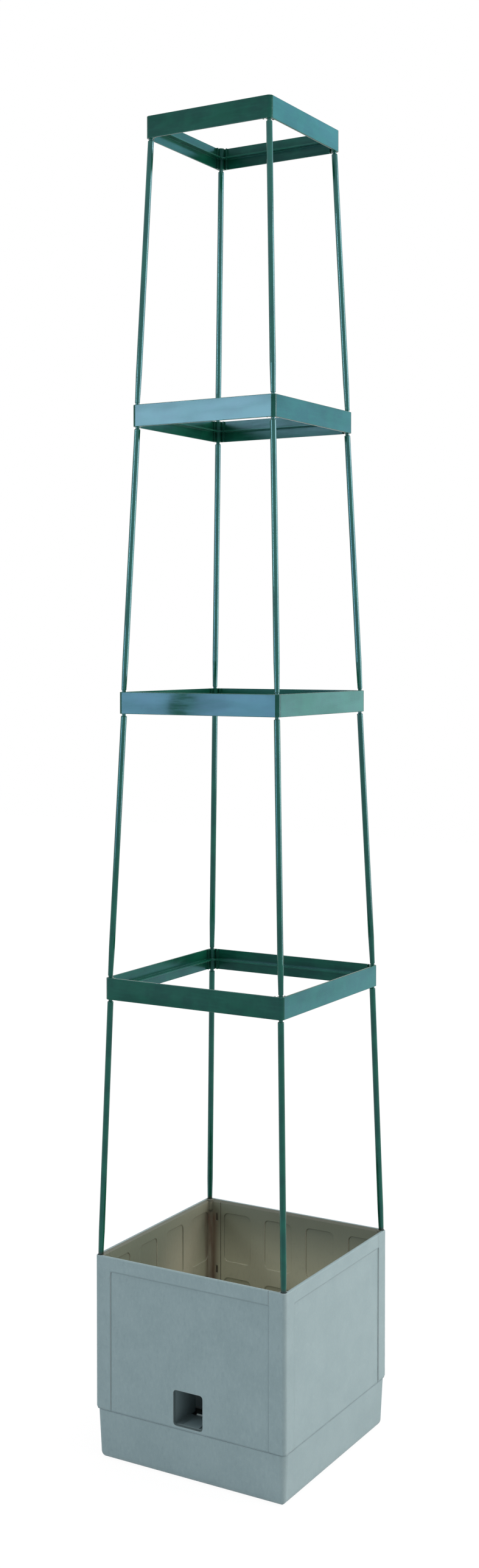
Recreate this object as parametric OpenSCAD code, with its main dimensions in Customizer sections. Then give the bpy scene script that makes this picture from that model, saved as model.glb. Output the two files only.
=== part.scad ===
// Square self-watering planter with a four-tier tomato tower.
// The planter stands on z = 0, centred on the z axis, with the fill window facing -y.

/* [Planter] */
// Outer width of the planter across its corner strips
planter_w = 250; // [225:1:300]
// Height of the planter rim above the ground
planter_h = 236; // [205:1:280]
// Thickness of a wall panel at its raised border
wall_t = 5.5; // [5.3:0.1:7]
// Height that the border stands proud of the panel field
border_relief = 1; // [0.8:0.1:2.1]
// Height of the raised border along the rim
rim_border_h = 16; // [12:0.5:22]
// Width of the raised strips beside each corner
strip_w = 21; // [20:0.5:26]
// Corner radius of the panel field
field_r = 3; // [1:0.5:6]
// Outer radius of the planter corners and of the ring corners
corner_r = 4.6; // [4.4:0.1:6]
// Chamfer along the outer edge of the rim
rim_chamfer = 0.8; // [0.4:0.1:1.2]
// Bevel along the inner edge of the rim
rim_bevel = 2.5; // [1:0.1:2.8]
// Height of the chamfer at the foot of the corner strips
strip_foot_h = 3; // [1:0.5:5]
// Radius of the fillet in the inner corners
inner_fillet_r = 5; // [3:0.5:6]

/* [Wall pockets] */
// Columns of shallow pockets inside each wall
pocket_cols = 4; // [2:1:4]
// Rows of shallow pockets inside each wall
pocket_rows = 2; // [1:1:2]
// Width of the wall left between pockets
pocket_rib = 20.5; // [10:0.5:28]
// Depth of a pocket
pocket_depth = 1; // [0.8:0.1:1.8]
// Corner radius of a pocket
pocket_r = 6; // [3:0.5:8]
// Distance from the outer pockets to the ends of the inner wall
pocket_side_margin = 5; // [4:0.5:12]
// Distance from the upper pockets to the rim
pocket_top_margin = 14.5; // [10:0.5:20]
// Distance from the lower pockets to the foot of the panel
pocket_foot_margin = 20.5; // [16:0.5:26]

/* [Panel joints] */
// Gap between the edges of neighbouring panels
seam_gap = 0.3; // [0.2:0.05:0.6]
// Thickness of the tongue on a panel's free edge
tongue_t = 1.8; // [1.2:0.1:2]
// Wall between the end of the groove and the stake socket
groove_end_wall = 2; // [1:0.1:4]
// Distance that the tongue stops short of the rim
tongue_drop = 5.5; // [3:0.5:10]
// Clearance round the tongue and the snap hooks
joint_gap = 0.2; // [0.1:0.05:0.3]
// Outer skin of the groove that takes the tongue
groove_skin = 2.3; // [2.1:0.1:2.4]
// Number of snap hooks on a tongue
hook_count = 3; // [2:1:4]
// Height of a snap slot
hook_slot_h = 9.5; // [6:0.5:14]
// Width of a snap slot
hook_slot_w = 2.6; // [2:0.1:4]
// Distance from the outer corner to the middle of the snap slots
hook_inset = 15.6; // [14:0.1:17]
// Distance from the rim to the middle of the first snap slot
hook_top = 21.5; // [16:0.5:30]
// Distance from the panel foot to the middle of the last snap slot
hook_foot = 23.5; // [16:0.5:30]

/* [Fill window] */
// Width of the fill window
window_w = 38.5; // [30:0.5:46]
// Height of the fill window
window_h = 40.5; // [30:0.5:50]
// Height of the window sill above the panel foot
window_sill = 3; // [2.8:0.1:6]
// Corner radius of the window
window_r = 4; // [2:0.5:8]

/* [Base tray] */
// Height of the base tray, up to the panel foot
base_h = 58; // [40:1:70]
// Wall of the base tray
base_wall = 2.5; // [1.8:0.1:3.5]
// Floor of the base tray
base_floor = 2.5; // [1.8:0.1:3.5]
// Inward lean of the tray wall from top to bottom
base_draft = 3; // [0.5:0.1:3.5]
// Corner radius of the tray at the top
base_corner_r = 8; // [7:0.1:10]
// Radius along the bottom edge of the tray
base_edge_r = 8; // [4:0.5:8.5]
// Chamfer along the inner edge of the tray floor
base_inner_chamfer = 1.2; // [0.5:0.1:1.5]
// Chamfer along the top edge of the tray, which shows as the seam
base_chamfer = 0.6; // [0.3:0.1:1]
// Thickness of the ledge that carries the panels
ledge_t = 3; // [2:0.5:5]
// Width of the ledge inside the upstand
ledge_lip = 1; // [0.5:0.5:4]
// Hollow under the tray floor
foot_recess = 1.5; // [0.5:0.1:3]
// Width of the flat foot rim under the tray
foot_flat_w = 6; // [3:0.5:14]
// Height of the upstand that locates the panels
upstand_h = 12; // [11:0.5:18]
// Thickness of the upstand
upstand_t = 2; // [1.5:0.1:3]
// Clearance between the upstand and the panels
upstand_gap = 0.3; // [0.2:0.05:0.5]
// Room that the upstand leaves at each inner corner
upstand_corner_room = 21.5; // [10:0.5:35]
// Room on each side of the window where the upstand is left out
upstand_window_gap = 6; // [4.5:0.5:12]
// Distance between the two snap lugs on a side
lug_spacing = 120; // [100:1:150]
// Length of a snap lug
lug_l = 24; // [12:1:30]
// Height of a snap lug
lug_h = 5; // [3:0.5:6]
// Height of a snap lug above the panel foot
lug_z = 4; // [2:0.5:5]
// Reach of a snap lug into the panel
lug_reach = 0.7; // [0.4:0.1:1]

/* [Soil platform] */
// Height of the platform underside above the panel foot
platform_lift = 4; // [3.6:0.1:6]
// Thickness of the platform
platform_t = 2.5; // [2:0.1:4]
// Gap between the platform and the upstand
platform_gap = 1; // [0.5:0.1:2]
// Corner radius of the platform
platform_r = 10; // [8:0.5:16]
// Height of the rim round the platform
platform_rim_h = 6; // [4:0.5:8]
// Wall of the platform's rim and cups
platform_wall = 1.8; // [1.4:0.1:2.4]
// Distance between the axes of the wick cups
cup_spacing = 116; // [110:1:130]
// Radius of a wick cup at the platform
cup_top_r = 26; // [22:0.5:28]
// Radius of a wick cup at its foot
cup_foot_r = 21; // [16:0.5:22]
// Width of the shoulder on which the platform rests
cup_shoulder = 2; // [1:0.1:3]
// Width of the water slots in the cups
cup_slot_w = 4; // [2:0.5:6]
// Height of the water slots in the cups
cup_slot_h = 18; // [10:1:24]
// Length of a drain slot
drain_l = 22; // [14:1:26]
// Width of a drain slot
drain_w = 4; // [2:0.5:5]
// Distance between drain slots
drain_pitch = 11; // [9:0.5:12]
// Number of drain slots in a group
drain_count = 5; // [3:1:5]

/* [Fill chute] */
// Depth of the hood behind the window
chute_depth = 46; // [42:1:52]
// Wall of the hood
chute_wall = 1.8; // [1.2:0.1:2.2]
// Room between the window's edge and the hood
chute_room = 0.7; // [0.4:0.1:1.5]
// Clearance between the hood and the front panel
chute_gap = 0.4; // [0.3:0.1:0.8]
// Flat part of the hood's roof
chute_roof = 8; // [4:1:14]
// Height of the hood's back edge above the platform
chute_back_h = 22; // [14:1:26]
// Width of the flange that rests on the platform
chute_flange_w = 7; // [4:0.5:8]
// Thickness of the sill bar in front of the platform
sill_bar_t = 2.4; // [2:0.1:2.6]
// Height of the sill bar
sill_bar_h = 2.4; // [1.6:0.1:2.5]
// Thickness of the chute's floor
chute_floor_t = 1.4; // [1:0.1:1.6]
// Width of the pouring tongue
spout_w = 21; // [14:0.5:28]
// Length of the pouring tongue
spout_l = 32; // [20:0.5:38]
// Thickness of the pouring tongue
spout_t = 1.8; // [1.2:0.1:2.4]
// Radius of the lip at the end of the tongue
spout_lip_r = 1.2; // [0.8:0.1:1.4]

/* [Tower rings] */
// Outer width of the lowest ring
bottom_ring_w = 233; // [200:1:260]
// How much narrower each ring is than the one below
ring_step = 23; // [10:0.5:26]
// Height of a ring's band
ring_h = 25; // [22:0.5:34]
// Thickness of a ring's band
band_t = 2; // [1.4:0.1:2.4]
// Rounding along the band's outer edges
band_chamfer = 0.4; // [0.2:0.1:0.7]
// Depth of the stiffening rib inside the band
rib_depth = 7.5; // [5:0.5:12]
// Thickness of the stiffening rib
rib_t = 1.4; // [1:0.1:2.4]
// Inner corner radius of the stiffening rib
rib_r = 3; // [2:0.5:6]
// Radius of the socket columns in the ring corners
column_r = 4.1; // [3.8:0.1:4.3]
// Distance from a socket's axis to the small upright ribs beside it
flank_offset = 7; // [6:0.5:10]
// Thickness of the small upright ribs
flank_t = 1.2; // [0.8:0.1:1.6]
// Depth of the small upright ribs
flank_depth = 2.6; // [1.5:0.1:4]

/* [Stakes] */
// Height of a stake between its two necks
stake_h = 298; // [200:1:400]
// Radius of a stake
stake_r = 3.5; // [3.2:0.1:4]
// Radius of a stake's lower end
stake_foot_r = 2.9; // [2.8:0.05:3]
// Length of the taper at the lower end
stake_taper_l = 32; // [20:1:60]
// Radius of the necks
neck_r = 2.3; // [2:0.05:2.4]
// Width of the flat round each neck
neck_flat = 0.25; // [0.15:0.05:0.35]
// Chamfer at the tip of a neck
neck_tip = 0.5; // [0.2:0.1:0.8]
// Part of the lower neck that shows above a ring
neck_show_low = 2; // [1:0.1:4]
// Part of the upper neck that shows below a ring
neck_show_top = 2.4; // [1:0.1:4]
// Depth of the neck in its socket
socket_depth = 7.5; // [5:0.5:9]
// Radial clearance between a lower neck and the socket that it stands in
socket_gap = 0.25; // [0.15:0.05:0.3]
// Radial clearance between an upper neck and the ring that it grips
grip_gap = 0.05; // [0.02:0.01:0.1]
// Clearance under a neck or foot that rests on its seat
seat_gap = 0.1; // [0:0.05:0.2]
// How far a lowest stake sinks into the planter rim
foot_sink = 6; // [3:0.5:7]
// Radial clearance of the wide mouth of the planter's sockets
mouth_gap = 0.5; // [0.4:0.05:0.6]
// Wall round the planter's sockets
boss_wall = 1.9; // [1.5:0.1:2.4]
// Floor of the planter's sockets
boss_floor = 1.4; // [1:0.1:3]

/* [Hidden] */
$fn = 64;
// Overlap that makes cuts and joins clean
eps = 1;
arc_steps = 6;
tiers = 4;
planter_colour = "#82959a";
inner_colour = "#4c5557";
tower_colour = "#1f4d43";
corner_names = ["back_right", "back_left", "front_left", "front_right"];
panel_names = ["panel_front", "panel_right", "panel_back", "panel_left"];
cup_names = [for (c = corner_names) str("wick_cup_", c)];
ring_names = [for (t = [1 : tiers]) str("ring_", t)];
stake_names = [for (t = [1 : tiers], c = corner_names) str("stake_", t, "_", c)];

// Planter
half_w = planter_w / 2;
corner_c = half_w - corner_r;
inner_half = half_w - wall_t;
field_half = half_w - border_relief;
panel_h = planter_h - base_h;
seam_x = half_w - strip_w - seam_gap;
pocket_span_x = inner_half + seam_x - 2 * pocket_side_margin;
pocket_span_z = panel_h - pocket_top_margin - pocket_foot_margin;
pocket_w = (pocket_span_x - (pocket_cols - 1) * pocket_rib) / pocket_cols;
pocket_h = (pocket_span_z - (pocket_rows - 1) * pocket_rib) / pocket_rows;
tongue_out = half_w - groove_skin - joint_gap;
hook_pitch = (panel_h - hook_top - hook_foot) / (hook_count - 1);
sill_z = base_h + window_sill;

// Base tray
tray_half = field_half;
tray_c = tray_half - base_corner_r;
tray_foot_r = base_corner_r - base_draft;
tray_edge_half = tray_half - base_draft * (1 - base_edge_r / (base_h - base_chamfer));
foot_in = tray_edge_half - base_edge_r - foot_flat_w;
floor_z = foot_recess + base_floor;
upstand_out = inner_half - upstand_gap;
upstand_in = upstand_out - upstand_t;
upstand_end = inner_half - upstand_corner_room;
ledge_in = upstand_in - ledge_lip;

// Soil platform and fill chute
platform_half = upstand_in - platform_gap;
platform_z = base_h + platform_lift;
platform_top = platform_z + platform_t;
cup_foot_z = floor_z + seat_gap;
spigot_r = cup_top_r - cup_shoulder;
chute_y = chute_gap - inner_half;
hood_in = window_w / 2 + chute_room;
hood_out = hood_in + chute_wall;
hood_top = sill_z + window_h + chute_room + chute_wall;
hood_back = platform_top + chute_back_h;

// Tower
neck_low_l = neck_show_low + socket_depth;
neck_top_l = neck_show_top + socket_depth;
neck_bury = stake_foot_r;
tier_pitch = ring_h + neck_show_low + stake_h + neck_show_top;
first_ring_z = planter_h - foot_sink + stake_h + neck_show_top;
socket_r = neck_r + socket_gap;
mouth_r = stake_foot_r + mouth_gap;
boss_r = mouth_r + boss_wall;
boss_h = foot_sink + neck_low_l + seat_gap + boss_floor;
groove_l = strip_w - corner_r - mouth_r - groove_end_wall;
tongue_l = groove_l - seam_gap - 2 * joint_gap;

// Outer width and foot height of a ring, and the place and foot height of a tier's stakes
function ring_w(tier) = bottom_ring_w - (tier - 1) * ring_step;
function ring_z(tier) = first_ring_z + (tier - 1) * tier_pitch;
function socket_half(tier) = tier == 0 ? corner_c : ring_w(tier) / 2 - corner_r;
function stake_z(tier) = tier == 1 ? planter_h - foot_sink : ring_z(tier - 1) + ring_h + neck_show_low;
// Middle of a pocket in the front panel
function pocket_x(col) = pocket_side_margin - inner_half + pocket_w / 2 + col * (pocket_w + pocket_rib);
function pocket_z(row) = planter_h - pocket_top_margin - pocket_h / 2 - row * (pocket_h + pocket_rib);
// Points along an arc about [x, y] from angle a to angle b
function arc(x, y, r, a, b) = [
    for (i = [0 : arc_steps]) let (t = a + (b - a) * i / arc_steps) [x + r * cos(t), y + r * sin(t)]
];

module quarter_disc(r) {
    intersection() {
        circle(r);
        square(r);
    }
}

// Material between a square corner at the origin and the round that takes its place
module corner_waste(r) {
    difference() {
        translate([-eps, -eps]) square(r + eps);
        translate([r, r]) circle(r);
    }
}

module rounded_rect(w, h, r) {
    square([w, h - 2 * r], center = true);
    square([w - 2 * r, h], center = true);
    for (sx = [-1, 1], sy = [-1, 1])
        scale([sx, sy]) translate([w / 2 - r, h / 2 - r]) quarter_disc(r);
}

// A profile carried round a square whose corners turn about the points (c, c)
module swept_square(c) {
    for (side = [0 : 3]) rotate(90 * side) translate([c, c, 0]) {
        rotate_extrude(angle = 90) children();
        rotate([90, 0, 0]) linear_extrude(2 * c) children();
    }
}

module at_corners(half) {
    for (side = [0 : 3]) rotate(90 * side) translate([half, half, 0]) children();
}

// A flat shape in the x-z plane, carried along y from y0 to y1
module along_y(y0, y1) {
    translate([0, y1, 0]) rotate([90, 0, 0]) linear_extrude(y1 - y0) children();
}

// A flat shape in the y-z plane, carried along x from x0 to x1
module along_x(x0, x1) {
    translate([x0, 0, 0]) rotate([90, 0, 90]) linear_extrude(x1 - x0) children();
}

module block(low, high) {
    translate(low) cube(high - low);
}

// Wall panels: all four share one form, drawn here as the front one

// Outer form of the four panels together
module planter_envelope() {
    swept_square(corner_c) polygon([
        [0, base_h],
        [corner_r - border_relief, base_h],
        [corner_r, base_h + strip_foot_h],
        [corner_r, planter_h - rim_chamfer],
        [corner_r - rim_chamfer, planter_h],
        [0, planter_h]
    ]);
    block([-corner_c, -corner_c, base_h], [corner_c, corner_c, planter_h]);
}

module stake_boss() {
    translate([-corner_c, -corner_c, planter_h - boss_h]) rotate_extrude() {
        translate([0, boss_r]) square([boss_r, boss_h - boss_r + eps]);
        translate([0, boss_r]) rotate(-90) quarter_disc(boss_r);
    }
}

module stake_socket() {
    translate([-corner_c, -corner_c, 0]) {
        translate([0, 0, planter_h - foot_sink - mouth_gap]) cylinder(r = mouth_r, h = boss_h);
        translate([0, 0, planter_h - boss_h + boss_floor]) cylinder(r = socket_r, h = boss_h);
    }
}

module panel_shell() {
    low = base_h - eps;
    high = planter_h + eps;
    block([-half_w - eps, -half_w - eps, low], [seam_x, -inner_half, high]);
    block([-half_w - eps, -half_w - eps, low], [-inner_half, strip_w - half_w, high]);
    translate([-inner_half, -inner_half, low]) linear_extrude(high - low) corner_waste(inner_fillet_r);
    stake_boss();
}

module field_recess() {
    field_left = strip_w - half_w;
    field_top = planter_h - rim_border_h;
    along_y(-half_w - eps, -field_half) difference() {
        translate([field_left, base_h - eps]) square([half_w - field_left, field_top - base_h + eps]);
        translate([field_left, field_top]) mirror([0, 1]) corner_waste(field_r);
    }
}

// Bevels the inner edge of the rim on both sides of the panel's stake boss
module rim_bevel_cut() {
    start = boss_r - corner_c;
    along_x(start, seam_x + eps) rim_bevel_section();
    mirror([1, -1, 0]) along_x(start, strip_w - half_w + eps) rim_bevel_section();
}

module rim_bevel_section() {
    polygon([
        [-inner_half - rim_bevel - eps, planter_h + eps],
        [eps - inner_half, planter_h + eps],
        [eps - inner_half, planter_h - rim_bevel - eps]
    ]);
}

module pocket(col, row) {
    translate([pocket_x(col), 0, pocket_z(row)]) along_y(-inner_half - pocket_depth, eps - inner_half)
        rounded_rect(pocket_w, pocket_h, pocket_r);
}

// Pockets leave the wall round the fill window whole
function pocket_clear(col, row) =
    abs(pocket_x(col)) > (window_w + pocket_w) / 2 + wall_t
    || pocket_z(row) > sill_z + window_h + pocket_h / 2 + wall_t;

module pockets(with_window) {
    for (col = [0 : pocket_cols - 1], row = [0 : pocket_rows - 1])
        if (!with_window || pocket_clear(col, row)) pocket(col, row);
}

module panel_tongue() {
    block(
        [seam_x - eps, -tongue_out, base_h + joint_gap],
        [seam_x + tongue_l, tongue_t - tongue_out, planter_h - tongue_drop]
    );
    for (i = [0 : hook_count - 1])
        translate([half_w - hook_inset, 0, planter_h - hook_top - i * hook_pitch]) block(
            [joint_gap - hook_slot_w / 2, -tongue_out + tongue_t / 2, joint_gap - hook_slot_h / 2],
            [hook_slot_w / 2 - joint_gap, -inner_half - joint_gap, hook_slot_h / 2 - joint_gap]
        );
}

module tongue_groove() {
    block(
        [-tongue_out - joint_gap, strip_w - half_w - groove_l, base_h - eps],
        [tongue_t - tongue_out + joint_gap, strip_w - half_w + eps, planter_h - tongue_drop + joint_gap]
    );
    for (i = [0 : hook_count - 1])
        translate([0, hook_inset - half_w, planter_h - hook_top - i * hook_pitch]) block(
            [-tongue_out, -hook_slot_w / 2, -hook_slot_h / 2],
            [eps - inner_half, hook_slot_w / 2, hook_slot_h / 2]
        );
}

module lug_recesses() {
    for (side = [-1, 1]) translate([side * lug_spacing / 2, 0, base_h + lug_z]) block(
        [-lug_l / 2 - joint_gap, -inner_half - lug_reach - joint_gap, -joint_gap],
        [lug_l / 2 + joint_gap, eps - inner_half, lug_h + joint_gap]
    );
}

module fill_window() {
    translate([0, 0, sill_z + window_h / 2])
        along_y(-half_w - eps, eps - inner_half) rounded_rect(window_w, window_h, window_r);
}

module wall_panel(side) {
    with_window = side == 0;
    color(planter_colour) rotate(90 * side) {
        difference() {
            intersection() {
                planter_envelope();
                panel_shell();
            }
            field_recess();
            rim_bevel_cut();
            pockets(with_window);
            tongue_groove();
            stake_socket();
            lug_recesses();
            if (with_window) fill_window();
        }
        panel_tongue();
    }
}

// Base tray: a drafted water tray with a ledge and an upstand for the panels

module tray_profile() {
    difference() {
        polygon([
            [0, 0],
            [tray_foot_r, 0],
            [base_corner_r, base_h - base_chamfer],
            [base_corner_r - base_chamfer, base_h],
            [base_corner_r - base_wall, base_h],
            [tray_foot_r - base_wall, floor_z + base_inner_chamfer],
            [tray_foot_r - base_wall - base_inner_chamfer, floor_z],
            [0, floor_z]
        ]);
        translate([tray_edge_half - tray_c, 0]) mirror([1, 0]) corner_waste(base_edge_r);
    }
}

module tray_floor() {
    difference() {
        block([-tray_c, -tray_c, 0], [tray_c, tray_c, floor_z]);
        for (side = [0 : 3]) rotate(90 * side) along_x(-half_w, half_w)
            translate([-tray_edge_half, 0]) corner_waste(base_edge_r);
        translate([0, 0, -eps]) linear_extrude(foot_recess + eps)
            rounded_rect(2 * foot_in, 2 * foot_in, base_corner_r);
    }
}

module tray_ledge() {
    outer = tray_half - base_wall / 2 - base_chamfer;
    translate([0, 0, base_h - ledge_t]) linear_extrude(ledge_t) difference() {
        rounded_rect(2 * outer, 2 * outer, base_corner_r - base_wall / 2 - base_chamfer);
        rounded_rect(2 * ledge_in, 2 * ledge_in, base_corner_r);
    }
}

module upstand(with_window) {
    gap_half = window_w / 2 + upstand_window_gap;
    difference() {
        union() {
            block([-upstand_end, -upstand_out, base_h - eps], [upstand_end, -upstand_in, base_h + upstand_h]);
            for (side = [-1, 1]) translate([side * lug_spacing / 2, 0, base_h + lug_z]) block(
                [-lug_l / 2, -inner_half - lug_reach, 0],
                [lug_l / 2, -upstand_in, lug_h]
            );
        }
        if (with_window)
            block([-gap_half, -half_w, base_h], [gap_half, 0, base_h + upstand_h + eps]);
    }
}

module base_tray() {
    color(planter_colour) {
        swept_square(tray_c) tray_profile();
        tray_floor();
        tray_ledge();
        for (side = [0 : 3]) rotate(90 * side) upstand(side == 0);
    }
}

// Wick cups: hollow feet that stand in the water, each with a shoulder and a spigot for the platform

module cup_body() {
    rotate_extrude() polygon([
        [0, 0],
        [cup_foot_r, 0],
        [cup_top_r, platform_z - cup_foot_z],
        [spigot_r, platform_z - cup_foot_z],
        [spigot_r, platform_top - cup_foot_z],
        [spigot_r - platform_wall, platform_top - cup_foot_z],
        [cup_foot_r - platform_wall, platform_wall],
        [0, platform_wall]
    ]);
}

module cup_water_slots() {
    for (turn = [0, 90]) rotate(turn) translate([0, 0, platform_wall + cup_slot_h / 2])
        cube([2 * cup_top_r + eps, cup_slot_w, cup_slot_h], center = true);
}

module wick_cup(corner) {
    color(inner_colour) rotate(90 * corner) translate([cup_spacing / 2, cup_spacing / 2, cup_foot_z])
        difference() {
            cup_body();
            cup_water_slots();
        }
}

// Soil platform: a drained floor that rests on the shoulders of the cups

module drain_group() {
    first = -drain_pitch * (drain_count - 1) / 2;
    for (i = [0 : drain_count - 1]) translate([0, first + i * drain_pitch, platform_z - eps])
        linear_extrude(platform_t + 2 * eps) square([drain_l, drain_w], center = true);
}

module platform_outline(inset) {
    side = 2 * (platform_half - inset);
    rounded_rect(side, side, platform_r - inset);
}

module soil_platform() {
    notch_half = hood_out + chute_gap;
    color(inner_colour) difference() {
        translate([0, 0, platform_z]) {
            linear_extrude(platform_t) platform_outline(0);
            linear_extrude(platform_t + platform_rim_h) difference() {
                platform_outline(0);
                platform_outline(platform_wall);
            }
        }
        at_corners(cup_spacing / 2) translate([0, 0, platform_z - eps])
            cylinder(r = spigot_r + joint_gap, h = platform_t + 2 * eps);
        block([-notch_half, -half_w, 0], [notch_half, chute_y + chute_depth - chute_wall, planter_h]);
        for (turn = [1 : 3]) rotate(90 * turn)
            translate([0, -cup_spacing / 2 - drain_pitch, 0]) drain_group();
        drain_group();
    }
}

// Fill chute: a hood that keeps soil away from the window, with a pouring tongue

module hood_section(inset, foot) {
    polygon([
        [chute_y - (inset > 0 ? eps : 0), foot],
        [chute_y - (inset > 0 ? eps : 0), hood_top - inset],
        [chute_y + chute_roof, hood_top - inset],
        [chute_y + chute_depth - inset, hood_back - inset],
        [chute_y + chute_depth - inset, foot]
    ]);
}

module chute_flange() {
    edge = hood_out + chute_flange_w;
    difference() {
        block(
            [-edge, platform_wall + eps - platform_half, platform_top],
            [edge, chute_y + chute_depth + chute_flange_w, platform_top + chute_wall]
        );
        block([-hood_in, -half_w, 0], [hood_in, chute_y + chute_depth - chute_wall, planter_h]);
    }
}

module chute_floor() {
    foot = sill_z - sill_bar_h;
    floor_end = chute_y + spout_l;
    cheek_end = chute_y + chute_depth - chute_wall - chute_gap;
    block([-hood_out, chute_y, foot], [hood_out, chute_y + sill_bar_t, sill_z]);
    block([-hood_out, chute_y, foot], [hood_out, floor_end, foot + chute_floor_t]);
    for (side = [0, 1]) mirror([side, 0, 0])
        block([hood_in, chute_y, foot], [hood_out, cheek_end, platform_top + chute_wall]);
    block([-spout_w / 2, chute_y, sill_z - spout_t], [spout_w / 2, floor_end, sill_z]);
    translate([-spout_w / 2, floor_end, sill_z]) rotate([0, 90, 0])
        cylinder(r = spout_lip_r, h = spout_w);
}

module fill_chute() {
    color(inner_colour) {
        difference() {
            along_x(-hood_out, hood_out) hood_section(0, platform_top);
            along_x(-hood_in, hood_in) hood_section(chute_wall, platform_top - eps);
        }
        chute_flange();
        chute_floor();
    }
}

// Tower rings

// A small upright rib on the band beside a socket column
module flank_rib() {
    block(
        [-flank_offset - flank_t / 2, corner_r - band_t - flank_depth, 0],
        [-flank_offset + flank_t / 2, corner_r - band_t / 2, ring_h]
    );
}

module ring(tier) {
    w = ring_w(tier);
    s = socket_half(tier);
    color(tower_colour) translate([0, 0, ring_z(tier)]) difference() {
        union() {
            swept_square(s) polygon([
                [corner_r - band_t, 0],
                [corner_r - band_chamfer, 0],
                [corner_r, band_chamfer],
                [corner_r, ring_h - band_chamfer],
                [corner_r - band_chamfer, ring_h],
                [corner_r - band_t, ring_h]
            ]);
            translate([0, 0, (ring_h - rib_t) / 2]) linear_extrude(rib_t) difference() {
                rounded_rect(w - band_t, w - band_t, corner_r - band_t / 2);
                rounded_rect(w - 2 * (band_t + rib_depth), w - 2 * (band_t + rib_depth), rib_r);
            }
            at_corners(s) {
                cylinder(r = column_r, h = ring_h);
                flank_rib();
                mirror([1, -1, 0]) flank_rib();
            }
        }
        at_corners(s) {
            translate([0, 0, -eps]) cylinder(r = neck_r + grip_gap, h = socket_depth + eps);
            translate([0, 0, ring_h - socket_depth - seat_gap]) cylinder(r = socket_r, h = ring_h);
        }
    }
}

// Stakes: a leaning rod with an upright neck at each end

module stake_rod(l) {
    flat_r = neck_r + neck_flat;
    low = stake_foot_r - flat_r;
    top = stake_r - flat_r;
    rotate_extrude() polygon(concat(
        [[0, 0]],
        arc(flat_r, low, low, -90, 0),
        [[stake_r, stake_taper_l]],
        arc(flat_r, l - top, top, 0, 90),
        [[0, l]]
    ));
}

module neck(l) {
    rotate_extrude() polygon([[0, 0], [neck_r - neck_tip, 0], [neck_r, neck_tip], [neck_r, l], [0, l]]);
}

module stake(tier, corner) {
    foot = [socket_half(tier - 1), socket_half(tier - 1), stake_z(tier)];
    head = [socket_half(tier), socket_half(tier), stake_z(tier) + stake_h];
    lean = atan2(sqrt(2) * (foot[0] - head[0]), stake_h);
    color(tower_colour) rotate(90 * corner) {
        translate(foot) rotate([0, lean, 225]) stake_rod(norm(head - foot));
        translate(foot - [0, 0, neck_low_l]) neck(neck_low_l + neck_bury);
        translate(head + [0, 0, neck_top_l]) mirror([0, 0, 1]) neck(neck_top_l + neck_bury);
    }
}

base_tray();
soil_platform();
fill_chute();
for (corner = [0 : 3])
    wick_cup(corner);
for (side = [0 : 3])
    wall_panel(side);
for (tier = [1 : tiers])
    ring(tier);
for (tier = [1 : tiers], corner = [0 : 3])
    stake(tier, corner);
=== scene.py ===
"""Looks for the square planter with its tomato tower: plastics, floor, light and camera."""

import math

import bpy
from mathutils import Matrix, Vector

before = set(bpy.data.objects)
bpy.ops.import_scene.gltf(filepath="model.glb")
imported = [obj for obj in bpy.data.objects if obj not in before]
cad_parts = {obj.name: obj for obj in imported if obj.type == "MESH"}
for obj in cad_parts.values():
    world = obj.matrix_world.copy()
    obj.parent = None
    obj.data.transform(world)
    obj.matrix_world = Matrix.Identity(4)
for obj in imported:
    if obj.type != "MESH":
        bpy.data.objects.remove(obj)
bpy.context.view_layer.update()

MM = 0.001
# Height of the photograph in pixels, of 787 x 2576
IMAGE_H = 2576


def linear(r, g, b):
    """A display colour, 0 to 255, as the linear colour that a shader takes."""
    def one(v):
        v = v / 255
        return v / 12.92 if v <= 0.04045 else ((v + 0.055) / 1.055) ** 2.4
    return (one(r), one(g), one(b), 1.0)


# Node helpers

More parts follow.
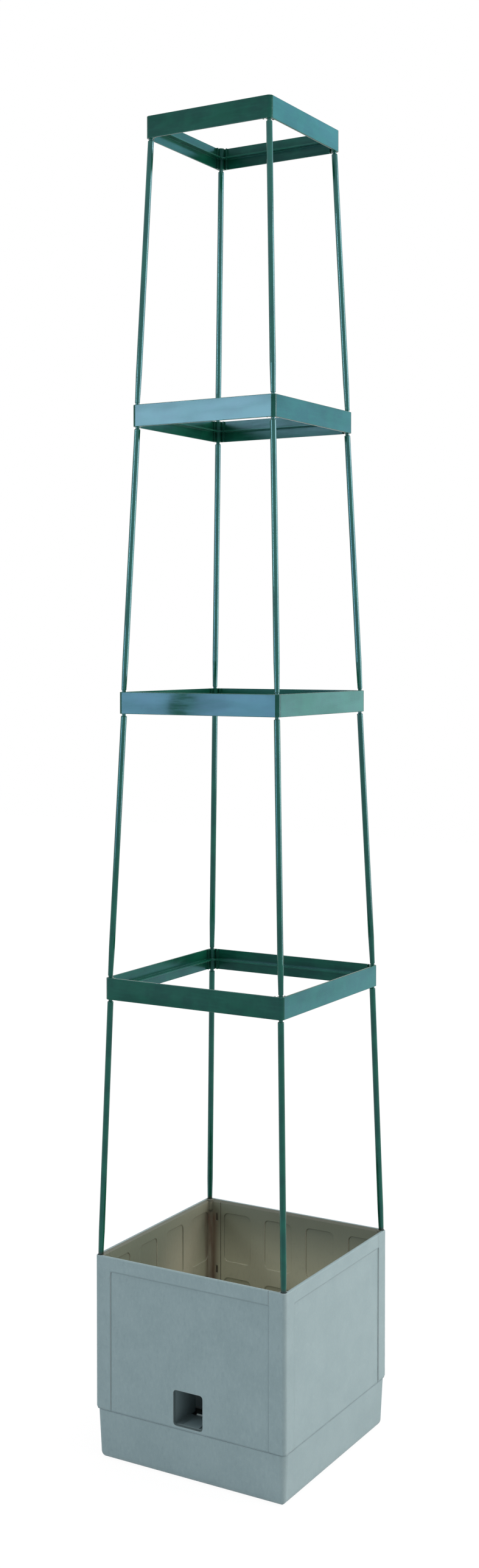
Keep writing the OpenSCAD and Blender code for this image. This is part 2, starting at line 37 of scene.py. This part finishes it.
class Shader:
    """A material's node tree, with short ways to add and join its nodes."""

    def __init__(self, name):
        self.material = bpy.data.materials.new(name)
        self.material.use_nodes = True
        self.nodes = self.material.node_tree.nodes
        self.links = self.material.node_tree.links
        self.bsdf = self.nodes["Principled BSDF"]
        self.place = self.add("ShaderNodeTexCoord").outputs["Object"]
        self.normal = self.add("ShaderNodeNewGeometry").outputs["Normal"]

    def add(self, kind, **settings):
        node = self.nodes.new(kind)
        for key, value in settings.items():
            setattr(node, key, value)
        return node

    def feed(self, socket, value):
        """Joins an output to a socket, or sets the socket to a plain value."""
        if isinstance(value, bpy.types.NodeSocket):
            self.links.new(value, socket)
        else:
            socket.default_value = value

    def math(self, operation, a, b=0.0):
        node = self.add("ShaderNodeMath", operation=operation)
        self.feed(node.inputs[0], a)
        self.feed(node.inputs[1], b)
        return node.outputs[0]

    def times(self, a, b):
        return self.math("MULTIPLY", a, b)

    def rest(self, share):
        """What a share leaves of 1."""
        return self.math("SUBTRACT", 1.0, share)

    def dot(self, a, b):
        node = self.add("ShaderNodeVectorMath", operation="DOT_PRODUCT")
        self.feed(node.inputs[0], a)
        self.feed(node.inputs[1], b)
        return node.outputs["Value"]

    def split(self, vector):
        node = self.add("ShaderNodeSeparateXYZ")
        self.feed(node.inputs[0], vector)
        return node.outputs[0], node.outputs[1], node.outputs[2]

    def outwardness(self):
        """How far a face looks away from the upright axis: its distance along its own normal, in metres."""
        x, y, _ = self.split(self.place)
        nx, ny, _ = self.split(self.normal)
        return self.math("ADD", self.times(x, nx), self.times(y, ny))

    def stretch(self, scale):
        node = self.add("ShaderNodeMapping")
        self.feed(node.inputs["Vector"], self.place)
        node.inputs["Scale"].default_value = scale
        return node.outputs["Vector"]

    def noise(self, size, stretch=(1, 1, 1), detail=3.0):
        """Noise whose grains are about the given size, in metres."""
        node = self.add("ShaderNodeTexNoise")
        self.feed(node.inputs["Vector"], self.stretch(stretch))
        node.inputs["Scale"].default_value = 1 / size
        node.inputs["Detail"].default_value = detail
        node.inputs["Roughness"].default_value = NOISE_ROUGHNESS
        return node.outputs["Fac"]

    def ramp(self, value, low, high, to_low=0.0, to_high=1.0):
        """A smooth change from one share to another while a value goes from low to high."""
        node = self.add("ShaderNodeMapRange", interpolation_type="SMOOTHSTEP")
        self.feed(node.inputs["Value"], value)
        ends = {"From Min": low, "From Max": high, "To Min": to_low, "To Max": to_high}
        for key, number in ends.items():
            node.inputs[key].default_value = number
        return node.outputs["Result"]

    def near(self, value, middle, far, close):
        """1 where a value is close to the middle, 0 where it is far from it."""
        off = self.math("ABSOLUTE", self.math("SUBTRACT", value, middle))
        return self.ramp(off, far, close)

    def mix(self, factor, a, b):
        node = self.add("ShaderNodeMix", data_type="RGBA")
        self.feed(node.inputs[0], factor)
        self.feed(node.inputs[6], a)
        self.feed(node.inputs[7], b)
        return node.outputs[2]

    def soft_edges(self, radius):
        """Normals that turn smoothly round an edge, as on a moulding."""
        node = self.add("ShaderNodeBevel", samples=4)
        node.inputs["Radius"].default_value = radius
        return node.outputs["Normal"]

    def edge_share(self, radius, low, high):
        """0 on a flat, 1 on an edge of about the given radius."""
        bend = self.rest(self.dot(self.normal, self.soft_edges(radius)))
        return self.ramp(bend, low, high)

    def creases(self, reach, open_share, closed_share):
        """0 in the open, 1 deep in a crease no wider than the given reach; it sets where shade is painted."""
        node = self.add("ShaderNodeAmbientOcclusion", samples=8)
        node.inputs["Distance"].default_value = reach
        return self.ramp(node.outputs["AO"], open_share, closed_share)

    def bump(self, height, distance, normal):
        node = self.add("ShaderNodeBump")
        self.feed(node.inputs["Height"], height)
        self.feed(node.inputs["Normal"], normal)
        node.inputs["Distance"].default_value = distance
        node.inputs["Strength"].default_value = 1.0
        return node.outputs["Normal"]

    def finish(self, colour, roughness, normal, **plain):
        self.feed(self.bsdf.inputs["Base Color"], colour)
        self.feed(self.bsdf.inputs["Roughness"], roughness)
        self.feed(self.bsdf.inputs["Normal"], normal)
        for key, value in plain.items():
            self.feed(self.bsdf.inputs[key.replace("_", " ")], value)
        return self.material


# Noises: size of the grains, how they are drawn out, and depth of detail
NOISE_ROUGHNESS = 0.55
PLANTER_CLOUDS = {"size": 40 * MM, "detail": 4}
BRUSH = {"size": 3 * MM, "stretch": (1, 1, 0.45)}
GRAIN = {"size": 1.2 * MM, "stretch": (1, 1, 0.4), "detail": 2}
SEAM_PATCHES = {"size": 30 * MM, "detail": 2}
STAIN_STREAKS = {"size": 9 * MM, "stretch": (1, 1, 0.12)}
TOWER_CLOUDS = {"size": 30 * MM}
RING_SMEARS = {"size": 30 * MM, "stretch": (0.3, 0.3, 1.2), "detail": 2}
FLOW_SIZE = 3.5 * MM
WAVE_SIZE = 60 * MM

# Ramps: start and end, and the shares there where these aren't 0 and 1
CLOUD_RAMP = (0.35, 0.65)
BRUSH_PALE = (0.5, 0.75, 0.0, 0.24)
BRUSH_DARK = (0.48, 0.25, 0.0, 0.22)
BRUSH_INSIDE = (0.5, 0.75, 0.0, 0.1)
BRUSH_ROUGHNESS = (0.3, 0.7, 0.46, 0.6)
GRAIN_PALE = (0.55, 0.72, 0.0, 0.2)
SEAM_PATCHY = (0.3, 0.6, 0.4, 0.8)
STREAK_RAMP = (0.35, 0.6, 0.45, 1.0)
FLOW_PALE = (0.45, 0.75, 0.0, 0.3)
FLOW_ROUGHNESS = (0.3, 0.7, 0.05, 0.1)
SMEAR_RAMP = (0.35, 0.65, 0.87, 1.15)
PLANTER_EDGES = (1.2 * MM, 0.02, 0.22)
TOWER_EDGES = (0.8 * MM, 0.03, 0.25)
PLANTER_CREASES = (2 * MM, 0.9, 0.6)

# Where the parts of the planter lie, for tones that follow them
INSIDE_HALF = 122 * MM
INSIDE_SOFT = 0.4 * MM
INWARD = (-40 * MM, -60 * MM)
SIDEWAYS = (60 * MM, 40 * MM)
WINDOW_TOP = (108 * MM, 112 * MM)
WINDOW_SIDES = (26 * MM, 24 * MM)
RIM_BEVEL_FOOT = (233.2 * MM, 233.6 * MM)
INSIDE_FADE = (230 * MM, 144 * MM)
SUNNY_REACH = (95 * MM, -30 * MM, 0.0, 0.85)
SUNNY_FACING = (0.5, 0.9)
LEDGE_FACING = (0.4, 0.7)
STAIN_REACH = (103 * MM, 117 * MM)
STAIN_TOP = (226 * MM, 212 * MM, 0.15, 1.0)
CHUTE_REACH = (-114 * MM, -82 * MM, 0.0, 0.92)
CHUTE_ACROSS = (0.5, 0.9, 0.5, 1.0)
LIP_SIDES = (11 * MM, 10.5 * MM)
BORDER_Z = 220 * MM
STRIP_EDGE = 104 * MM

# Lines: their middle, and how far from it they have faded out and are still full
SEAM_LINE = (58 * MM, 2 * MM, 0.3 * MM)
LIP_LINE = (-87.1 * MM, 1.8 * MM, 1.3 * MM)
BORDER_LINE = (BORDER_Z, 1.5 * MM, 0.4 * MM)
STRIP_LINE = (STRIP_EDGE, 1.2 * MM, 0.3 * MM)
HOOK_LINE = (119.7 * MM, 0.16 * MM, 0.08 * MM)
JOINT_LINE = (103.85 * MM, 0.8 * MM, 0.35 * MM)

# How strongly each tone covers the one under it
CLOUD_SHARE = 0.2
CREASE_SHADE_SHARE = 0.2
BORDER_SHADE_SHARE = 0.55
STEP_SHARE = 0.8
JAMB_SHARE = 0.6
EDGE_SHARE = 0.5
STAIN_SHARE = 0.9
HOOK_SHARE = 0.85
JOINT_SHARE = 0.6

# Tones of the planter, among them painted light and painted shade
WALL_TONES = (linear(123, 143, 146), linear(143, 162, 165), linear(101, 121, 125))
CHUTE_TONES = (linear(122, 141, 145), linear(136, 154, 158), linear(104, 121, 125))
INSERT_TONES = (linear(84, 92, 94), linear(98, 106, 108), linear(68, 75, 77))
EDGE_WEAR_AND_HIGHLIGHT = linear(172, 187, 190)
STEP_PAINTED_LIGHT = linear(185, 200, 203)
JAMB_PAINTED_SHADE = linear(62, 76, 78)
CHUTE_PAINTED_SHADE = linear(84, 97, 101)
LIP_PAINTED_HIGHLIGHT = linear(225, 238, 238)
INSIDE_HIGH = linear(118, 122, 105)
INSIDE_LOW_PAINTED_LIGHT = linear(204, 203, 178)
INSIDE_SUNNY_PAINTED_SHADE = linear(98, 107, 92)
INSIDE_STAIN = linear(108, 80, 64)
INSIDE_SIDE_PAINTED_LIGHT = linear(248, 244, 224)
INSIDE_RIM_PAINTED_SHADE = linear(90, 93, 82)
INSIDE_WEAR_AND_HIGHLIGHT = linear(162, 162, 144)
SLOT_SHADE_AND_JOINT_DIRT = linear(50, 42, 34)

PLANTER_SPECULAR = 0.35
GRAIN_HEIGHT = 0.7
PLANTER_BUMP = 0.04 * MM


def inside_share(s):
    """Shares that tell the inside of the walls from the outside.

    These are 1 on the inner side, 1 on faces that look inwards, the distance of a point from the axis,
    1 on the jambs of the window, where shade is painted, and 1 on the inward faces of the steps outside, where
    light is painted.
    """
    x, y, z = s.split(s.place)
    x, y = s.math("ABSOLUTE", x), s.math("ABSOLUTE", y)
    depth = s.math("MAXIMUM", x, y)
    outward = s.outwardness()
    facing = s.ramp(outward, *INWARD)
    above = s.ramp(z, *WINDOW_TOP)
    within = s.ramp(depth, INSIDE_HALF, INSIDE_HALF - INSIDE_SOFT)
    within = s.times(within, s.math("MAXIMUM", facing, above))
    jamb = s.times(s.near(outward, 0.0, *SIDEWAYS), s.ramp(x, *WINDOW_SIDES))
    jamb = s.times(jamb, s.rest(above))
    step = s.times(s.ramp(depth, INSIDE_HALF, INSIDE_HALF + INSIDE_SOFT), facing)
    return within, facing, depth, jamb, step


def inside_colour(s, brush, facing, depth):
    """Olive inside, painted paler further down, with painted shade on the left wall where the key light falls,
    brown stains in the corners, painted light on the side faces of pockets and on ledges, painted shade in the
    hook slots and on the rim bevel, and dark joint lines.
    """
    x, y, z = s.split(s.place)
    nx, ny, nz = s.split(s.normal)
    # Painted light: the inside is made paler further down
    colour = s.mix(s.ramp(z, *INSIDE_FADE), INSIDE_HIGH, INSIDE_LOW_PAINTED_LIGHT)
    # Painted shade where the key light falls on the front of the left wall
    sunny_shade = s.times(s.ramp(y, *SUNNY_REACH), s.ramp(nx, *SUNNY_FACING))
    colour = s.mix(sunny_shade, colour, INSIDE_SUNNY_PAINTED_SHADE)
    colour = s.mix(s.ramp(brush, *BRUSH_INSIDE), colour, INSIDE_HIGH)
    nearer = s.math("MINIMUM", s.math("ABSOLUTE", x), s.math("ABSOLUTE", y))
    corner = s.times(s.ramp(nearer, *STAIN_REACH), s.ramp(z, *STAIN_TOP))
    stained = s.times(corner, s.ramp(s.noise(**STAIN_STREAKS), *STREAK_RAMP))
    colour = s.mix(s.times(stained, STAIN_SHARE), colour, INSIDE_STAIN)
    # Painted light on the side faces of the pockets, and a paler painted highlight on ledges that face up
    side_and_ledge_light = s.mix(s.ramp(nz, *LEDGE_FACING), INSIDE_SIDE_PAINTED_LIGHT, INSIDE_WEAR_AND_HIGHLIGHT)
    colour = s.mix(facing, side_and_ledge_light, colour)
    # Painted shade in the hook slots
    hook = s.times(s.near(depth, *HOOK_LINE), facing)
    colour = s.mix(s.times(hook, HOOK_SHARE), colour, SLOT_SHADE_AND_JOINT_DIRT)
    # Dark joint lines where the panels meet
    along = s.math("SUBTRACT", s.times(x, ny), s.times(y, nx))
    joint = s.times(s.near(along, *JOINT_LINE), facing)
    colour = s.mix(s.times(joint, JOINT_SHARE), colour, SLOT_SHADE_AND_JOINT_DIRT)
    # Painted shade on the inner bevel of the rim
    return s.mix(s.ramp(z, *RIM_BEVEL_FOOT), colour, INSIDE_RIM_PAINTED_SHADE)


def border_shade_lines(s):
    """1 along the foot of the raised border and of the corner strips on the outside, where a line of shade is
    painted.
    """
    x, y, z = s.split(s.place)
    across = s.math("MINIMUM", s.math("ABSOLUTE", x), s.math("ABSOLUTE", y))
    border = s.times(s.near(z, *BORDER_LINE), s.ramp(across, STRIP_EDGE, STRIP_EDGE - MM))
    strip = s.times(s.near(across, *STRIP_LINE), s.ramp(z, BORDER_Z + MM, BORDER_Z))
    return s.math("MAXIMUM", border, strip)


def chute_colour(s, colour):
    """Painted shade that deepens further in, and a painted highlight on the lip of the pouring tongue."""
    x, y, _ = s.split(s.place)
    across = s.math("ABSOLUTE", s.split(s.normal)[1])
    # Painted shade that deepens further into the chute
    gloom = s.times(s.ramp(y, *CHUTE_REACH), s.ramp(across, *CHUTE_ACROSS))
    colour = s.mix(gloom, colour, CHUTE_PAINTED_SHADE)
    # Painted highlight along the lip of the pouring tongue
    lip = s.times(s.near(y, *LIP_LINE), s.ramp(s.math("ABSOLUTE", x), *LIP_SIDES))
    return s.mix(lip, colour, LIP_PAINTED_HIGHLIGHT)


def planter_plastic(name, tones, wall=False, seam=False, chute=False):
    """Satin moulding: cloudy tone, a fine upright grain and specks, pale edges that are partly wear and partly
    painted highlight, and painted shade in creases.
    """
    tone, pale, dark = tones
    s = Shader(name)
    clouds = s.ramp(s.noise(**PLANTER_CLOUDS), *CLOUD_RAMP)
    brush = s.noise(**BRUSH)
    grain = s.noise(**GRAIN)
    colour = s.mix(clouds, tone, s.mix(CLOUD_SHARE, tone, pale))
    colour = s.mix(s.ramp(brush, *BRUSH_PALE), colour, pale)
    colour = s.mix(s.ramp(brush, *BRUSH_DARK), colour, dark)
    colour = s.mix(s.ramp(grain, *GRAIN_PALE), colour, pale)
    # Painted shade: ambient occlusion darkens creases and the feet of steps towards the dark tone
    crease_shade = s.times(s.creases(*PLANTER_CREASES), CREASE_SHADE_SHARE)
    edge_wear_and_highlight = EDGE_WEAR_AND_HIGHLIGHT
    if seam:
        # Painted shade in a patchy band along the seam between panels and tray
        seam_shade_band = s.near(s.split(s.place)[2], *SEAM_LINE)
        patchy = s.ramp(s.noise(**SEAM_PATCHES), *SEAM_PATCHY)
        colour = s.mix(s.times(seam_shade_band, patchy), colour, dark)
    if chute:
        colour = chute_colour(s, colour)
    if wall:
        within, facing, depth, jamb, step = inside_share(s)
        # Painted shade along the foot of the raised border and the corner strips
        colour = s.mix(s.times(border_shade_lines(s), BORDER_SHADE_SHARE), colour, dark)
        # Painted light on the inward faces of the steps outside, which lie in shade
        colour = s.mix(s.times(step, STEP_SHARE), colour, STEP_PAINTED_LIGHT)
        colour = s.mix(within, colour, inside_colour(s, brush, facing, depth))
        # Painted shade on the jambs and sill of the window
        colour = s.mix(s.times(jamb, JAMB_SHARE), colour, JAMB_PAINTED_SHADE)
        edge_wear_and_highlight = s.mix(within, edge_wear_and_highlight, INSIDE_WEAR_AND_HIGHLIGHT)
        crease_shade = s.times(crease_shade, s.rest(within))
    # Pale edges, partly wear and partly painted highlight
    colour = s.mix(s.times(s.edge_share(*PLANTER_EDGES), EDGE_SHARE), colour, edge_wear_and_highlight)
    # Painted shade in the creases, on the outside only
    colour = s.mix(crease_shade, colour, dark)
    height = s.math("ADD", s.times(grain, GRAIN_HEIGHT), brush)
    normal = s.bump(height, PLANTER_BUMP, s.soft_edges(PLANTER_EDGES[0]))
    roughness = s.ramp(brush, *BRUSH_ROUGHNESS)
    return s.finish(colour, roughness, normal, Specular_IOR_Level=PLANTER_SPECULAR)


# Tones of the tower, and the directions in which its flow marks and its waves are drawn out
RING_TONES = (linear(12, 72, 54), linear(8, 60, 46), linear(20, 84, 66))
RING_FLOW = (0.12, 0.12, 1)
RING_WAVES = (0.5, 0.5, 1.4)
STAKE_TONES = (linear(14, 74, 55), linear(9, 60, 45), linear(24, 88, 71))
STAKE_FLOW = (1, 1, 0.06)
STAKE_WAVES = (1, 1, 0.6)
TOWER_EDGE_WEAR_AND_HIGHLIGHT = linear(52, 112, 96)
TOWER_EDGE_R = 0.5 * MM

# Tint and strength of the reflections in the dyed green plastic
RING_TINT = (0.42, 0.74, 1.0, 1.0)
RING_SHEEN = 0.35
RING_BUMP = 0.5 * MM
RING_INNER = (50 * MM, 10 * MM)
RING_INNER_DULL = RING_SHEEN / 4
RING_INNER_ROUGH = 0.15
STAKE_TINT = (0.38, 0.78, 0.94, 1.0)
STAKE_SHEEN = (650 * MM, 1050 * MM, 0.55, 1.0)
STAKE_BUMP = 0.6 * MM
STAKE_FOOT_SHADE = linear(46, 34, 26)
STAKE_FOOT_SHADE_TOP = (242 * MM, 236 * MM, 0.0, 0.85)


def tower_base(name, tones, flow, warp, bump):
    """Dark green moulding: faint flow marks along its length, a slightly wavy skin, pale edges that are partly
    wear and partly painted highlight.
    """
    tone, deep, pale = tones
    s = Shader(name)
    clouds = s.ramp(s.noise(**TOWER_CLOUDS), *CLOUD_RAMP)
    streaks = s.noise(FLOW_SIZE, stretch=flow)
    waves = s.noise(WAVE_SIZE, stretch=warp, detail=1)
    colour = s.mix(clouds, tone, deep)
    colour = s.mix(s.ramp(streaks, *FLOW_PALE), colour, pale)
    # Pale edges, partly wear and partly painted highlight
    colour = s.mix(s.edge_share(*TOWER_EDGES), colour, TOWER_EDGE_WEAR_AND_HIGHLIGHT)
    roughness = s.ramp(streaks, *FLOW_ROUGHNESS)
    normal = s.bump(waves, bump, s.soft_edges(TOWER_EDGE_R))
    return s, colour, roughness, normal


def ring_plastic(name):
    """Glossy outside with soft smears, more satin on the inner faces."""
    s, colour, roughness, normal = tower_base(name, RING_TONES, RING_FLOW, RING_WAVES, RING_BUMP)
    inner = s.ramp(s.outwardness(), *RING_INNER)
    roughness = s.math("ADD", roughness, s.times(inner, RING_INNER_ROUGH))
    sheen = s.math("SUBTRACT", RING_SHEEN, s.times(inner, RING_INNER_DULL))
    sheen = s.times(sheen, s.ramp(s.noise(**RING_SMEARS), *SMEAR_RAMP))
    return s.finish(colour, roughness, normal, Specular_IOR_Level=sheen, Specular_Tint=RING_TINT)


def stake_plastic(name):
    """Painted shade at the foot of the lowest stakes, where they enter the rim; glossier towards the top."""
    s, colour, roughness, normal = tower_base(name, STAKE_TONES, STAKE_FLOW, STAKE_WAVES, STAKE_BUMP)
    z = s.split(s.place)[2]
    # Painted shade at the foot of the lowest stakes, where they enter the rim
    colour = s.mix(s.ramp(z, *STAKE_FOOT_SHADE_TOP), colour, STAKE_FOOT_SHADE)
    sheen = s.ramp(z, *STAKE_SHEEN)
    return s.finish(colour, roughness, normal, Specular_IOR_Level=sheen, Specular_Tint=STAKE_TINT)


def paint(node, material):
    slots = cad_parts[node].data.materials
    slots.clear()
    slots.append(material)


wall = planter_plastic("wall_plastic", WALL_TONES, wall=True, seam=True)
tray = planter_plastic("tray_plastic", WALL_TONES, seam=True)
chute = planter_plastic("chute_plastic", CHUTE_TONES, chute=True)
insert = planter_plastic("insert_plastic", INSERT_TONES)
ring_green = ring_plastic("ring_plastic")
stake_green = stake_plastic("stake_plastic")

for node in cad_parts:
    if node.startswith("stake_"):
        paint(node, stake_green)
    elif node.startswith("ring_"):
        paint(node, ring_green)
    elif node == "soil_platform" or node.startswith("wick_cup_"):
        paint(node, insert)
    elif node == "fill_chute":
        paint(node, chute)
    elif node == "base_tray":
        paint(node, tray)
    else:
        paint(node, wall)


# Floor and world: white where they are seen, plain light elsewhere

def seen_directly(nodes, links):
    """1 for rays from the camera and for those mirrored or let through, 0 for soft light."""
    path = nodes.new("ShaderNodeLightPath")
    total = path.outputs["Is Camera Ray"]
    for key in ("Is Glossy Ray", "Is Transmission Ray"):
        node = nodes.new("ShaderNodeMath")
        node.operation = "MAXIMUM"
        links.new(total, node.inputs[0])
        links.new(path.outputs[key], node.inputs[1])
        total = node.outputs[0]
    return total


FLOOR_HALF = 6.0
FLOOR_GREY = (0.85, 0.85, 0.85, 1)
FLOOR_ROUGHNESS = 0.9
FLOOR_WHITE = 1.03
# Share of the floor's own shading, which keeps the shadow, and how far out it has faded
FLOOR_SHADOW = 0.08
SHADOW_REACH = 1.2

corners = [(-1, -1), (1, -1), (1, 1), (-1, 1)]
floor_mesh = bpy.data.meshes.new("floor")
floor_mesh.from_pydata([(x * FLOOR_HALF, y * FLOOR_HALF, 0) for x, y in corners], [], [(0, 1, 2, 3)])
floor = bpy.data.objects.new("floor", floor_mesh)
bpy.context.scene.collection.objects.link(floor)

floor_material = bpy.data.materials.new("floor_white")
floor_material.use_nodes = True
nodes, links = floor_material.node_tree.nodes, floor_material.node_tree.links
bsdf = nodes["Principled BSDF"]
bsdf.inputs["Base Color"].default_value = FLOOR_GREY
bsdf.inputs["Roughness"].default_value = FLOOR_ROUGHNESS
bsdf.inputs["Specular IOR Level"].default_value = 0.0
white = nodes.new("ShaderNodeEmission")
white.inputs["Strength"].default_value = FLOOR_WHITE
reach = nodes.new("ShaderNodeVectorMath")
reach.operation = "LENGTH"
links.new(nodes.new("ShaderNodeTexCoord").outputs["Object"], reach.inputs[0])
plain = nodes.new("ShaderNodeMapRange")
plain.inputs["From Min"].default_value = SHADOW_REACH / 2
plain.inputs["From Max"].default_value = SHADOW_REACH
plain.inputs["To Min"].default_value = 1 - FLOOR_SHADOW
plain.inputs["To Max"].default_value = 1.0
links.new(reach.outputs["Value"], plain.inputs["Value"])
share = nodes.new("ShaderNodeMath")
share.operation = "MULTIPLY"
links.new(seen_directly(nodes, links), share.inputs[0])
links.new(plain.outputs["Result"], share.inputs[1])
both = nodes.new("ShaderNodeMixShader")
links.new(share.outputs[0], both.inputs[0])
links.new(bsdf.outputs[0], both.inputs[1])
links.new(white.outputs[0], both.inputs[2])
links.new(both.outputs[0], nodes["Material Output"].inputs["Surface"])
floor_mesh.materials.append(floor_material)

WORLD_LIGHT = 0.42

world = bpy.data.worlds.new("studio")
bpy.context.scene.world = world
world.use_nodes = True
nodes, links = world.node_tree.nodes, world.node_tree.links
background = nodes["Background"]
background.inputs["Color"].default_value = (1, 1, 1, 1)
strength = nodes.new("ShaderNodeMapRange")
strength.inputs["To Min"].default_value = WORLD_LIGHT
strength.inputs["To Max"].default_value = 1.0
links.new(seen_directly(nodes, links), strength.inputs["Value"])
links.new(strength.outputs["Result"], background.inputs["Strength"])


# Lamps: softboxes that light the object and that the glossy green mirrors

def softbox(name, place, aim, width, height, power, colour):
    light = bpy.data.lights.new(name, "AREA")
    light.shape = "RECTANGLE"
    light.size = width
    light.size_y = height
    light.energy = power
    light.color = colour
    lamp = bpy.data.objects.new(name, light)
    lamp.location = place
    lamp.rotation_euler = (Vector(aim) - Vector(place)).to_track_quat("-Z", "Y").to_euler()
    bpy.context.scene.collection.objects.link(lamp)


MIDDLE = (0, 0, 0.7)
WARM = (1.0, 0.885, 0.86)
NEUTRAL = (1.0, 0.985, 0.96)
DAYLIGHT = (0.92, 0.98, 1.0)
SKYLIGHT = (0.68, 0.8, 1.0)
AQUA = (0.45, 1.0, 0.98)

softbox("key_right", (3.0, 1.3, 1.3), MIDDLE, 1.6, 2.2, 98, WARM)
softbox("window_upper", (-2.0, -3.5, 1.75), (0, 0, 1.2), 0.8, 0.75, 25, DAYLIGHT)
softbox("window_lower_left", (-2.46, -3.4, 0.85), (0, 0, 0.85), 0.49, 0.8, 10.9, SKYLIGHT)
softbox("window_lower_right", (-1.757, -3.6, 0.85), (0, 0, 0.85), 0.685, 0.8, 15.4, SKYLIGHT)
softbox("back_lower", (2.0, 3.6, 0.75), (0, 0, 0.8), 1.2, 1.0, 8, AQUA)
softbox("back_upper", (2.0, 3.6, 1.7), (0, 0, 1.2), 1.2, 0.8, 4.9, (0.05, 0.65, 1.0))
softbox("back_high", (2.0, 3.6, 2.7), (0, 0, 1.4), 1.2, 0.8, 6.2, (0.05, 0.7, 1.0))
softbox("back_low", (0.94, 1.56, 0.21), (0.11, 0, 0.54), 0.6, 0.2, 0.46, (0.05, 0.72, 1.0))
softbox("top", (0.2, -0.2, 3.6), MIDDLE, 2.0, 2.0, 66, NEUTRAL)

# Camera, as fitted to the edges in the photograph
CAMERA_AT = (1.05044, -1.79499, 0.9363)
CAMERA_YAW = 30.4784
CAMERA_PITCH = -1.6311
FOCAL_PIXELS = 2936.19
AXIS_ROW = 1143.51
SENSOR = 36

camera_data = bpy.data.cameras.new("camera")
camera = bpy.data.objects.new("camera", camera_data)
bpy.context.scene.collection.objects.link(camera)
camera.location = CAMERA_AT
camera.rotation_euler = (math.radians(90 + CAMERA_PITCH), 0, math.radians(CAMERA_YAW))
camera_data.sensor_width = SENSOR
camera_data.lens = SENSOR * FOCAL_PIXELS / IMAGE_H
camera_data.shift_y = (AXIS_ROW - IMAGE_H / 2) / IMAGE_H
camera_data.clip_start = 0.05
camera_data.clip_end = 60
bpy.context.scene.camera = camera

bpy.context.scene.view_settings.view_transform = "Standard"
